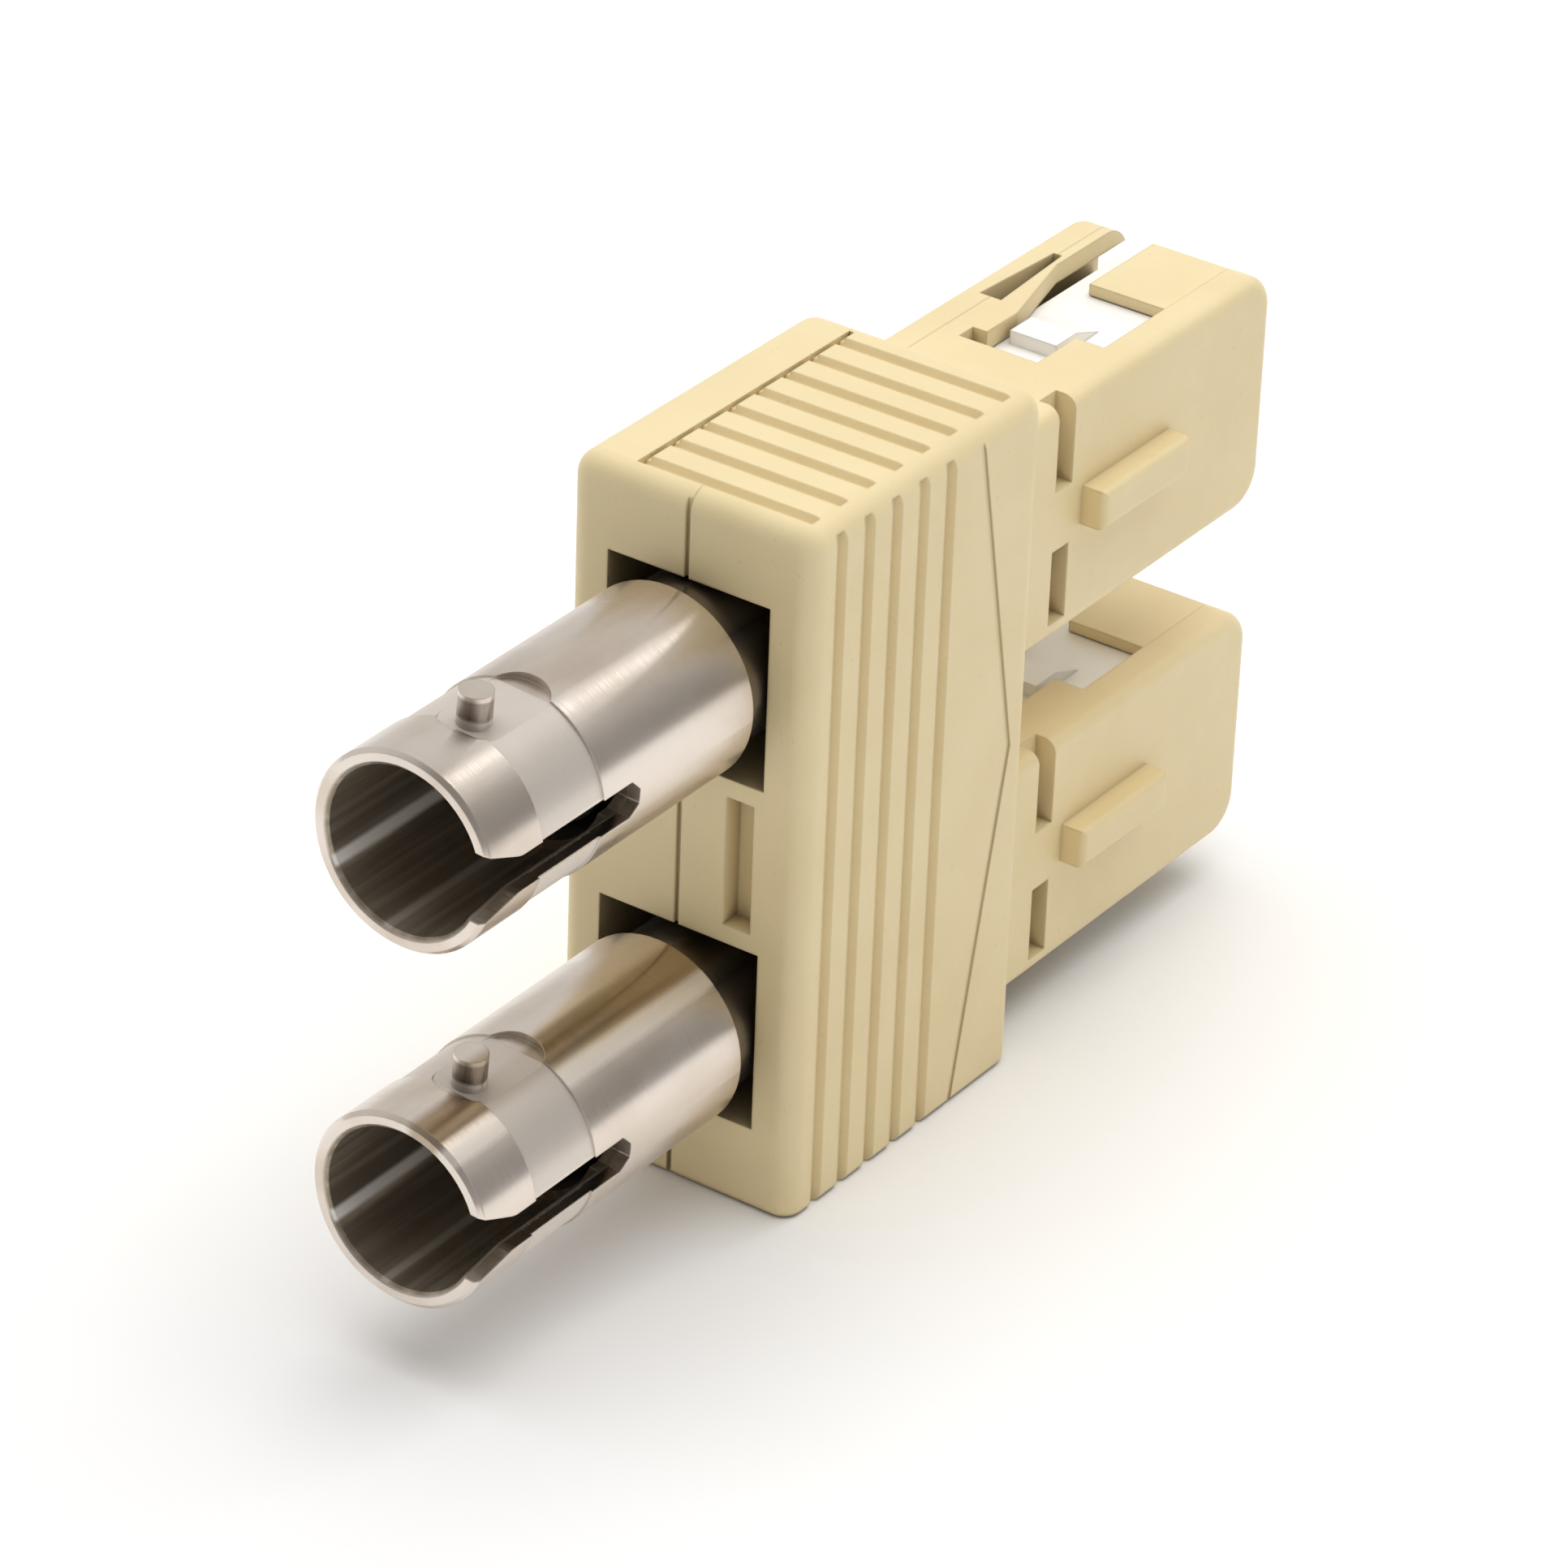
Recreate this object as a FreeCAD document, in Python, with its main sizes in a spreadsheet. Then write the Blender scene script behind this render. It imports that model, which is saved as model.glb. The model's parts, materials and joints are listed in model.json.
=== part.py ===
"""Duplex fibre adapter: two bayonet barrels at the front, two push-pull plugs at the back.

X is across the body, Y runs along the fibres towards the plugs, Z is up.
The origin is the middle of the body's base.
"""
import FreeCAD
import Part
import Sketcher
import math
import os
from types import SimpleNamespace

# Driving dimensions in millimetres: name, value, meaning
SIZES = [
    ("channel_pitch", 12.7, "distance between the two fibre axes"),
    ("body_width", 9.3, "body across the channels"),
    ("body_height", 24.9, "body from base to top"),
    ("body_length", 12.7, "body along the fibres"),
    ("edge_round", 0.9, "rounding of the long top edges"),
    ("end_round", 0.7, "rounding round the front and rear faces"),
    ("base_round", 0.3, "rounding round the base"),
    ("front_wall", 3.0, "wall that the barrels come out of"),
    ("seam_width", 0.18, "width of the line where the halves meet"),
    ("seam_depth", 0.15, "depth of the line where the halves meet"),
    ("front_window_half", 3.08, "fibre axis to the sides of a front window"),
    ("front_window_outer", 3.1, "fibre axis to the window's end towards the top or base"),
    ("front_window_inner", 3.38, "fibre axis to the window's end towards the other window"),
    ("partition_wall", 1.2, "wall behind the barrel flanges"),
    ("web_pocket_inner", 1.7, "near side of the pocket in the front web"),
    ("web_pocket_outer", 2.75, "far side of the pocket in the front web"),
    ("web_pocket_depth", 0.8, "depth of the pocket in the front web"),
    ("web_pocket_rim", 0.65, "web left above and below the pocket"),
    ("groove_pitch", 1.48, "spacing of the grip grooves"),
    ("groove_width", 0.56, "width of a grip groove at the surface"),
    ("groove_depth", 0.24, "depth of a grip groove"),
    ("side_groove_first", 1.46, "front face to the first side groove"),
    ("side_groove_margin", 0.5, "side grooves stop this far below the top"),
    ("top_groove_first", 0.9, "front face to the first top groove"),
    ("top_groove_margin", 0.65, "top grooves stop this far from the side faces"),
    ("chevron_end", 8.9, "front face to the ends of the chevron line"),
    ("chevron_point", 11.4, "front face to the point of the chevron line"),
    ("chevron_width", 0.22, "width of the chevron line"),
    ("chevron_depth", 0.07, "depth of the chevron line"),
    ("pin_diameter", 1.8, "locating pins of the cover"),
    ("pin_length", 3.0, "reach of the locating pins"),
    ("pin_inset", 5.9, "front face to the first locating pin"),
    ("pin_spacing", 4.6, "distance between the locating pins"),
    ("barrel_diameter", 6.7, "outside of a barrel"),
    ("barrel_bore", 5.6, "inside of a barrel at its mouth"),
    ("bore_depth", 6.6, "mouth to the step in the bore"),
    ("bore_step", 0.3, "step where the bore narrows, each side"),
    ("barrel_reach", 14.3, "barrel ahead of the body"),
    ("barrel_shoulder", 0.9, "end of the barrel's full width, ahead of the body"),
    ("barrel_neck", 5.9, "barrel where it passes through the front window"),
    ("shoulder_chamfer", 0.2, "edge break at the barrel's shoulder"),
    ("barrel_chamfer", 0.14, "edge break at the barrel's mouth"),
    ("flange_diameter", 9.0, "flange that holds a barrel in the body"),
    ("flange_flats", 7.6, "across the two flats of the flange"),
    ("flange_thickness", 1.6, "barrel flange along the axis"),
    ("band_start", 2.55, "mouth to the relieved band"),
    ("band_length", 3.05, "relieved band that the lugs stand in"),
    ("band_depth", 0.07, "depth of the relieved band"),
    ("barrel_turn", 4, "degrees that the barrels are turned towards the keys"),
    ("lug_setback", 3.2, "mouth to the middle of a lug"),
    ("lug_diameter", 1.1, "bayonet lug"),
    ("lug_height", 0.9, "lug above the barrel's surface"),
    ("spot_face_width", 2.2, "flat milled round a lug"),
    ("spot_face_ahead", 1.1, "flat ahead of the middle of a lug"),
    ("spot_face_behind", 3.0, "flat behind the middle of a lug"),
    ("spot_face_round", 1.0, "rounding of the flat's ends"),
    ("spot_face_depth", 0.26, "depth of the flat under the barrel's surface"),
    ("key_slot_width", 1.3, "keyway in the barrel"),
    ("key_slot_length", 7.4, "mouth to the end of the keyway"),
    ("key_slot_round", 0.4, "corner cut at the end of the keyway"),
    ("key_mouth_width", 2.4, "keyway at the mouth"),
    ("key_mouth_length", 1.5, "length of the keyway's flare"),
    ("key_mouth_round", 0.9, "rounding where the flare meets the keyway"),
    ("sleeve_length", 11.4, "split alignment sleeve"),
    ("sleeve_wall", 0.35, "wall of the split sleeve"),
    ("sleeve_slit", 0.5, "slit along the split sleeve"),
    ("holder_wall", 0.5, "wall of the tube round the split sleeve"),
    ("holder_lip", 0.4, "lip at the nose of the sleeve holder"),
    ("holder_seat", 4.0, "length pressed into the barrel"),
    ("ferrule_diameter", 2.5, "ferrules of both ends"),
    ("ferrule_chamfer", 0.3, "lead-in of a ferrule's tip"),
    ("ferrule_gap", 0.4, "gap between the two ferrules in their collar"),
    ("collar_wall", 0.3, "wall of the ferrule collar"),
    ("collar_length", 8.4, "ferrule collar"),
    ("collar_flange", 4.8, "flange of the ferrule collar"),
    ("collar_flange_thickness", 1.4, "collar flange along the axis"),
    ("spring_wire", 0.45, "wire of the ferrule spring"),
    ("spring_mean", 3.75, "middle of the spring's coils, across"),
    ("spring_length", 9.4, "spring as fitted"),
    ("spring_turns", 6, "turns of the spring"),
    ("seat_diameter", 4.9, "tube of the spring seat"),
    ("seat_wall", 0.3, "wall of the spring seat"),
    ("seat_floor", 1.0, "end wall of the spring seat"),
    ("seat_engagement", 1.8, "spring seat inside the plug frame"),
    ("seat_ring", 6.2, "ring that stops the plug frame's travel"),
    ("seat_ring_thickness", 1.2, "stop ring along the axis"),
    ("plug_travel", 1.2, "plug frame's slide in the housing"),
    ("float_travel", 1.0, "ferrule's slide against its spring"),
    ("float_gap", 0.1, "room left behind the collar flange"),
    ("plug_width", 7.4, "plug block across"),
    ("plug_top", 4.15, "fibre axis to the top of the plug block"),
    ("plug_bottom", 4.45, "fibre axis to the bottom of the plug block"),
    ("plug_reach", 15.2, "plug block behind the body"),
    ("plug_side_wall", 0.5, "side walls of the plug block"),
    ("plug_top_wall", 0.7, "top and bottom walls of the plug block"),
    ("plug_corner_top", 1.3, "rounding of the upper rear corner"),
    ("plug_corner_bottom", 1.4, "rounding of the lower rear corner"),
    ("plug_edge_round", 0.5, "rounding round the plug's side face"),
    ("neck_length", 3.6, "body's rear face to the plug frame"),
    ("stop_wall", 0.9, "wall that the plug frame rests on"),
    ("side_slot_start", 2.3, "body's rear face to the side slots"),
    ("side_slot_length", 0.95, "side slots along the plug"),
    ("side_slot_inner", 1.1, "fibre axis to the near end of a side slot"),
    ("side_slot_outer", 3.8, "fibre axis to the far end of the lower side slot"),
    ("side_slot_depth", 0.8, "depth of the side slots"),
    ("key_width", 1.4, "key rib, top to bottom"),
    ("key_height", 0.92, "key rib above the plug's side"),
    ("key_length", 5.15, "key rib along the plug"),
    ("key_start", 3.9, "body's rear face to the key rib"),
    ("key_round", 0.25, "rounding of the key rib's outer edges"),
    ("window_front", 4.5, "body's rear face to the latch window"),
    ("window_step", 6.75, "body's rear face to the window's wide part"),
    ("window_rear", 10.85, "body's rear face to the latch bar"),
    ("window_finger", 1.15, "fibre axis to the window's finger side"),
    ("window_notch", 1.7, "fibre axis to the notch at the finger's root"),
    ("window_notch_length", 0.8, "notch at the finger's root, along the plug"),
    ("window_narrow", 1.35, "fibre axis to the far side, narrow part"),
    ("window_wide", 2.45, "fibre axis to the far side, wide part"),
    ("bar_end", 0.8, "fibre axis to the free end of the latch bar"),
    ("bar_recess", 0.3, "latch bar below the plug's surface"),
    ("finger_bend", 7.1, "body's rear face to the bend in the finger"),
    ("finger_tip", 2.1, "fibre axis to the finger's inner side at its tip"),
    ("finger_slot_start", 7.5, "body's rear face to the slot beside the finger"),
    ("finger_slot_length", 4.0, "slot beside the finger"),
    ("finger_slot_half", 0.42, "half the width of the slot beside the finger, at its root"),
    ("finger_slot_tip", 0.16, "half the width of the slot beside the finger, at its tip"),
    ("frame_recess", 0.25, "plug frame inside the end of the plug block"),
    ("frame_round", 0.35, "rounding of the plug frame's long edges on the key side"),
    ("frame_chamfer", 1.5, "chamfer of the plug frame's long edges on the cover side"),
    ("frame_stop_ring", 0.8, "ring that the collar flange rests on"),
    ("frame_mouth", 4.9, "opening round the ferrule at the plug's end"),
    ("catch_width", 1.8, "latch catch on the plug frame"),
    ("catch_height", 0.5, "catch above the plug frame"),
    ("catch_start", 2.7, "stop wall to the catch"),
    ("catch_flat", 1.2, "flat top of the catch"),
    ("catch_ramp", 1.4, "sloped back of the catch"),
    ("ferrule_reach", 1.1, "ferrule tip behind the plug frame"),
    ("slide_gap", 0.05, "clearance of sliding and seated pieces, each side"),
    ("sleeve_gap", 0.02, "clearance of a ferrule in the split sleeve, each side"),
    ("loose_gap", 0.2, "clearance of a hole that only lets a ferrule through"),
]


class Length:
    """A size together with the sheet expression that gives it."""

    def __init__(self, value, text):
        self.value = float(value)
        self.text = text

    def __add__(self, other):
        other = as_length(other)
        return Length(self.value + other.value, f"({self.text} + {other.text})")

    def __sub__(self, other):
        other = as_length(other)
        return Length(self.value - other.value, f"({self.text} - {other.text})")

    def __mul__(self, factor):
        return Length(self.value * factor, f"({self.text} * {factor})")

    def __truediv__(self, number):
        return Length(self.value / number, f"({self.text} / {number})")

    def __neg__(self):
        return self * -1


def as_length(size):
    return size if isinstance(size, Length) else Length(size, str(size))


def bind(thing, target, size):
    """Drives one property of a document object from the sheet."""
    thing.setExpression(target, as_length(size).text)


doc = FreeCAD.newDocument("FibreAdapter")
sheet = doc.addObject("Spreadsheet::Sheet", "Sizes")
for row, (alias, size, meaning) in enumerate(SIZES, start=1):
    sheet.set(f"A{row}", meaning)
    sheet.set(f"B{row}", str(size))
    sheet.setAlias(f"B{row}", alias)
doc.recompute()
S = SimpleNamespace(**{alias: Length(size, f"Sizes.{alias}") for alias, size, meaning in SIZES})
ZERO = as_length(0)

# Heights of the two fibre axes above the base
CHANNELS = {
    "upper": (S.body_height + S.channel_pitch) / 2,
    "lower": (S.body_height - S.channel_pitch) / 2,
}

# Stations along the fibres, from the barrels' mouths to the ferrules' tips
front = -S.body_length / 2
rear = S.body_length / 2
mouth = front - S.barrel_reach
flange_front = front + S.front_wall
flange_rear = flange_front + S.flange_thickness
partition_rear = flange_rear + S.partition_wall
stop_rear = rear + S.neck_length
stop_front = stop_rear - S.stop_wall
plug_end = rear + S.plug_reach
seat_inner = stop_rear + S.seat_engagement
collar_rest = seat_inner + S.float_gap + S.float_travel
collar_end = collar_rest + S.collar_flange_thickness
collar_start = collar_end - S.collar_length
spring_start = collar_rest - S.spring_length
seat_start = spring_start - S.seat_floor
frame_end = plug_end - S.frame_recess
ferrule_tip = frame_end + S.ferrule_reach
sleeve_start = flange_rear - S.sleeve_length
ferrules_meet = collar_start + S.collar_length / 2

# Sizes shared by pieces that fit together
half_width = S.body_width / 2
parting = -(S.seat_diameter / 2 + S.slide_gap)
lip_rear = front + S.top_groove_first
rear_bore = S.barrel_bore / 2 - S.bore_step
half_plug = S.plug_width / 2
cavity_half = half_plug - S.plug_side_wall
cavity_half_height = S.plug_top - S.plug_top_wall
ring_room = S.seat_ring / 2 + S.slide_gap
sleeve_inner = S.ferrule_diameter / 2 + S.sleeve_gap
sleeve_outer = sleeve_inner + S.sleeve_wall
holder_inner = sleeve_outer + S.sleeve_gap
holder_outer = holder_inner + S.holder_wall
FAR = S.body_width * 2


def plane_of(body, role):
    return next(item for item in body.Origin.OriginFeatures if item.Role == role)


def sketch_on(body, name, role, offset):
    """A sketch on one of the body's origin planes, moved along the plane's normal."""
    sketch = body.newObject("Sketcher::SketchObject", name)
    sketch.AttachmentSupport = [(plane_of(body, role), "")]
    sketch.MapMode = "FlatFace"
    bind(sketch, "AttachmentOffset.Base.z", offset)
    return sketch


def hold(sketch, kind, geometry, point, size):
    """A driving dimension from the sketch's origin, bound to the sheet."""
    size = as_length(size)
    number = sketch.addConstraint(Sketcher.Constraint(kind, geometry, point, size.value))
    if "Sizes." in size.text:
        sketch.setExpression(f"Constraints[{number}]", size.text)


def hold_point(sketch, geometry, point, place):
    hold(sketch, "DistanceX", geometry, point, place[0])
    hold(sketch, "DistanceY", geometry, point, place[1])


def vector(place):
    return FreeCAD.Vector(as_length(place[0]).value, as_length(place[1]).value, 0)


def direction(start, end):
    """The axis direction from one corner to the next, on an outline of square corners."""
    step = vector(end) - vector(start)
    if abs(step.x) > abs(step.y):
        return (1 if step.x > 0 else -1, 0)
    return (0, 1 if step.y > 0 else -1)


def draw_disc(sketch, across, along, diameter):
    centre = FreeCAD.Vector(as_length(across).value, as_length(along).value, 0)
    circle = Part.Circle(centre, FreeCAD.Vector(0, 0, 1), diameter.value / 2)
    geometry = sketch.addGeometry(circle, False)
    hold_point(sketch, geometry, 3, (across, along))
    number = sketch.addConstraint(Sketcher.Constraint("Diameter", geometry, diameter.value))
    sketch.setExpression(f"Constraints[{number}]", diameter.text)


def corner_stations(corners, i):
    """Where an outline enters and leaves one corner, and the middle of its rounding."""
    corner = corners[i]
    place = (as_length(corner[0]), as_length(corner[1]))
    if len(corner) == 2:
        return place, place, None
    radius = corner[2]
    back = direction(corner, corners[i - 1])
    ahead = direction(corner, corners[(i + 1) % len(corners)])
    enter = (place[0] + radius * back[0], place[1] + radius * back[1])
    leave = (place[0] + radius * ahead[0], place[1] + radius * ahead[1])
    centre = (enter[0] + radius * ahead[0], enter[1] + radius * ahead[1])
    return enter, leave, centre


def draw_outline(sketch, corners):
    """A closed outline; a corner with a third value is rounded by that radius."""
    stations = [corner_stations(corners, i) for i in range(len(corners))]
    lines = []
    for i, (enter, leave, centre) in enumerate(stations):
        following = stations[(i + 1) % len(stations)][0]
        lines.append(sketch.addGeometry(Part.LineSegment(vector(leave), vector(following)), False))
        hold_point(sketch, lines[-1], 1, leave)
    for i, (enter, leave, centre) in enumerate(stations):
        if centre is None:
            sketch.addConstraint(Sketcher.Constraint("Coincident", lines[i - 1], 2, lines[i], 1))
            continue
        hold_point(sketch, lines[i - 1], 2, enter)
        middle = vector(centre)
        first = vector(enter) - middle
        last = vector(leave) - middle
        ends = [(lines[i - 1], 2), (lines[i], 1)]
        if first.cross(last).z < 0:
            first, last = last, first
            ends.reverse()
        angles = [math.atan2(ray.y, ray.x) for ray in (first, last)]
        circle = Part.Circle(middle, FreeCAD.Vector(0, 0, 1), first.Length)
        arc = sketch.addGeometry(Part.ArcOfCircle(circle, *angles), False)
        for point, (line, end) in enumerate(ends, start=1):
            sketch.addConstraint(Sketcher.Constraint("Coincident", arc, point, line, end))
        hold(sketch, "DistanceX", arc, 3, centre[0])


def draw(sketch, shapes):
    for shape in shapes:
        if isinstance(shape, dict):
            draw_disc(sketch, **shape)
        else:
            draw_outline(sketch, shape)


def box(left, right, low, high):
    return [(left, low), (right, low), (right, high), (left, high)]


def disc(across, along, diameter):
    return {"across": across, "along": along, "diameter": diameter}


# Each direction: the origin plane, and the sign of its normal along the axis
DIRECTIONS = {"X": ("YZ_Plane", 1), "Y": ("XZ_Plane", -1), "Z": ("XY_Plane", 1)}


def extrude(body, kind, name, axis, low, high, shapes):
    """Adds or removes the shapes between two stations of an axis, and checks that it did."""
    role, sign = DIRECTIONS[axis]
    adds = kind == "PartDesign::Pad"
    at_low = adds == (sign > 0)
    sketch = sketch_on(body, name + "_sketch", role, (low if at_low else high) * sign)
    draw(sketch, shapes)
    doc.recompute()
    before = body.Shape.Volume if body.Tip else 0.0
    feature = body.newObject(kind, name)
    feature.Profile = sketch
    bind(feature, "Length", high - low)
    doc.recompute()
    if (body.Shape.Volume > before) != adds or body.Shape.Volume == before:
        raise RuntimeError(f"{name} changed nothing")
    return feature


def pad(body, name, axis, low, high, shapes):
    return extrude(body, "PartDesign::Pad", name, axis, low, high, shapes)


def cut(body, name, axis, low, high, shapes):
    return extrude(body, "PartDesign::Pocket", name, axis, low, high, shapes)


def spin(body, kind, name, profile):
    """Turns a profile of (radius, station) points about the body's own Y axis."""
    sketch = sketch_on(body, name + "_sketch", "XY_Plane", ZERO)
    draw_outline(sketch, profile)
    feature = body.newObject(kind, name)
    feature.Profile = sketch
    feature.ReferenceAxis = (sketch, ["V_Axis"])
    feature.Angle = 360
    doc.recompute()
    return feature


def turn(body, name, profile):
    return spin(body, "PartDesign::Revolution", name, profile)


def dress(body, kind, name, target, size, chosen):
    """Rounds or chamfers the edges of the body so far that pass a test on their box."""
    base = body.Tip
    edges = [f"Edge{i}" for i, edge in enumerate(base.Shape.Edges, start=1) if chosen(edge.BoundBox)]
    feature = body.newObject(kind, name)
    feature.Base = (base, edges)
    bind(feature, target, size)
    doc.recompute()
    return feature


def flat_at(low, high, size):
    """Whether an edge's box lies in one plane."""
    tolerance = 1e-4
    return abs(low - size.value) < tolerance and abs(high - size.value) < tolerance


pieces = []


def new_body(label, height=None):
    """A body of its own, moved up to a fibre axis where a height is given."""
    body = doc.addObject("PartDesign::Body", label)
    body.Label = label
    if height is not None:
        bind(body, "Placement.Base.z", height)
    pieces.append(body)
    return body


# Housing: two moulded halves that meet at a plane beside the seats of the springs.
# Ahead of the first top groove they meet on the axes, so that each has half of the front face.


def shared_cavities(body):
    """The rooms that the two halves close round each channel, cut from front to rear."""
    flange_room = S.flange_diameter / 2 + S.slide_gap
    flats_room = S.flange_flats / 2 + S.slide_gap
    upper = CHANNELS["upper"]
    lower = CHANNELS["lower"]
    side = S.front_window_half
    cut(body, "barrel_windows", "Y", front, flange_front, [
        box(-side, side, upper - S.front_window_inner, upper + S.front_window_outer),
        box(-side, side, lower - S.front_window_outer, lower + S.front_window_inner)])
    rooms = [
        ("flange_slot", flange_front, flange_rear, flats_room, flange_room),
        ("seat_room", partition_rear, stop_front, ring_room, ring_room),
        ("frame_room", stop_rear, plug_end, cavity_half, cavity_half_height),
    ]
    for name, low, high, across, height in rooms:
        cut(body, name, "Y", low, high,
            [box(-across, across, axis - height, axis + height) for axis in CHANNELS.values()])


def plug_outline(axis):
    """Side view of a plug block: nearly square above, well rounded below."""
    low = axis - S.plug_bottom
    high = axis + S.plug_top
    return [(rear, low), (plug_end, low, S.plug_corner_bottom),
            (plug_end, high, S.plug_corner_top), (rear, high)]


def round_ends(body):
    """Rounds the rims of the front and rear faces and the base, but not where the halves meet."""
    def at_seam(edge):
        return (flat_at(edge.XMin, edge.XMax, ZERO) or flat_at(edge.XMin, edge.XMax, parting)
                or flat_at(edge.YMin, edge.YMax, lip_rear))

    def on_base(edge):
        return flat_at(edge.ZMin, edge.ZMax, ZERO) and not at_seam(edge)

    def on_rim(edge):
        at_end = flat_at(edge.YMin, edge.YMax, front) or flat_at(edge.YMin, edge.YMax, rear)
        return at_end and not at_seam(edge) and not on_base(edge)
    dress(body, "PartDesign::Fillet", "end_rims", "Radius", S.end_round, on_rim)
    dress(body, "PartDesign::Fillet", "base_rim", "Radius", S.base_round, on_base)


def add_plugs(body, inner, outer):
    """The plug blocks' share of one half, from the parting plane to the side face."""
    low, high = sorted((inner, outer), key=lambda station: station.value)
    pad(body, "plug_blocks", "X", low, high, [plug_outline(axis) for axis in CHANNELS.values()])

    def on_side_rim(edge):
        return flat_at(edge.XMin, edge.XMax, outer) and edge.YMax > rear.value + S.neck_length.value
    dress(body, "PartDesign::Fillet", "plug_rims", "Radius", S.plug_edge_round, on_side_rim)


def notch(body, name, low, high, radius):
    """A round seat in a wall, open towards the cover so that the pieces lay in."""
    axes = list(CHANNELS.values())
    cut(body, name + "_way", "Y", low, high, [box(-FAR, ZERO, axis - radius, axis + radius) for axis in axes])
    cut(body, name + "_seat", "Y", low, high, [disc(ZERO, axis, radius * 2) for axis in axes])


def groove_stations(first, count):
    return [front + first + S.groove_pitch * i for i in range(count)]


def vee(surface, inward):
    """Section of a grip groove: an open vee with a flat bottom."""
    half = S.groove_width / 2
    bottom = surface + S.groove_depth * inward
    above = surface - S.groove_depth * inward
    return half, half / 2, bottom, above


def side_grooves(body, face, inward):
    """Upright grip grooves of one side face, and the chevron line behind them."""
    shapes = []
    for middle in groove_stations(S.side_groove_first, 5):
        half, narrow, bottom, above = vee(face, inward)
        shapes.append([(face, middle - half), (bottom, middle - narrow), (bottom, middle + narrow),
                       (face, middle + half), (above, middle + half), (above, middle - half)])
    cut(body, "side_grooves", "Z", ZERO, S.body_height - S.side_groove_margin, shapes)
    middle = S.body_height / 2
    end = front + S.chevron_end
    point = front + S.chevron_point
    wide = S.chevron_width
    line = [(end, ZERO), (end + wide, ZERO), (point + wide, middle), (end + wide, S.body_height),
            (end, S.body_height), (point, middle)]
    low, high = sorted((face, face + S.chevron_depth * inward), key=lambda station: station.value)
    cut(body, "chevron_line", "X", low, high, [line])


def top_grooves(body, left, right):
    """Grip grooves across the top, and the same below."""
    shapes = []
    for middle in groove_stations(S.top_groove_first, 8):
        for face, inward in ((S.body_height, -1), (ZERO, 1)):
            half, narrow, bottom, above = vee(face, inward)
            shapes.append([(middle - half, face), (middle - narrow, bottom), (middle + narrow, bottom),
                           (middle + half, face), (middle + half, above), (middle - half, above)])
    cut(body, "top_grooves", "X", left, right, shapes)


def finger_slot(body, side):
    """One half's share of the tapered slot along the seam beside the plugs' fingers."""
    start = rear + S.finger_slot_start
    end = start + S.finger_slot_length
    cut(body, "finger_slot", "Z", ZERO, S.body_height,
        [[(parting, start), (parting + S.finger_slot_half * side, start),
          (parting + S.finger_slot_tip * side, end), (parting, end)]])


def pin_places():
    first = front + S.pin_inset
    return [(first + S.pin_spacing * i, S.body_height / 2) for i in range(2)]


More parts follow.
